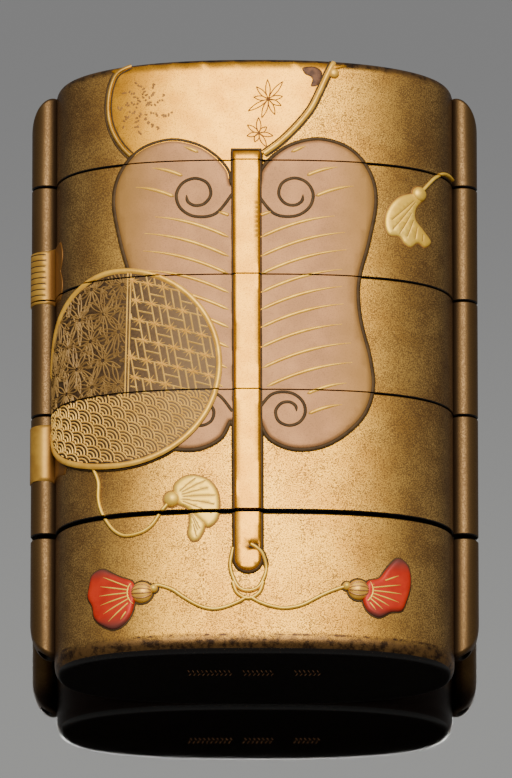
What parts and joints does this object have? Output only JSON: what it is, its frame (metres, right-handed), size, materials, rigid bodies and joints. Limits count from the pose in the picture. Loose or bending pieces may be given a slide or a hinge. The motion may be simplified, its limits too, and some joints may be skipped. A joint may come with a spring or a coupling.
{
  "type": "inro case",
  "caption": "Small oval nesting box carried at the waist: a stack of hollow lacquered trays under a crowned lid, with a round cord bead down each side, lying on its back.",
  "frame": {"origin": "on the resting face, under the middle of the object", "axes": "+X across the front, +Y from the foot to the lid, +Z out of the decorated front; the inro lies on its back"},
  "size_m": [0.062, 0.0864, 0.0267],
  "materials": {
    "gold_lacquer": "lacquered wood under sprinkled gold powder, satin, a little worn",
    "black_lacquer": "polished black-brown lacquer with sparse gold powder",
    "fan_silver_lacquer": "dull mauve-silver lacquer",
    "raised_gold": "raised polished gold lacquer",
    "pale_gold": "raised pale gold lacquer",
    "red_lacquer": "raised red lacquer with gold lines"
  },
  "bodies": {
    "root": {"lid": "gold_lacquer", "case_1": "gold_lacquer", "case_2": "gold_lacquer", "case_3": "gold_lacquer", "case_4": "gold_lacquer"}
  },
  "joints": []
}
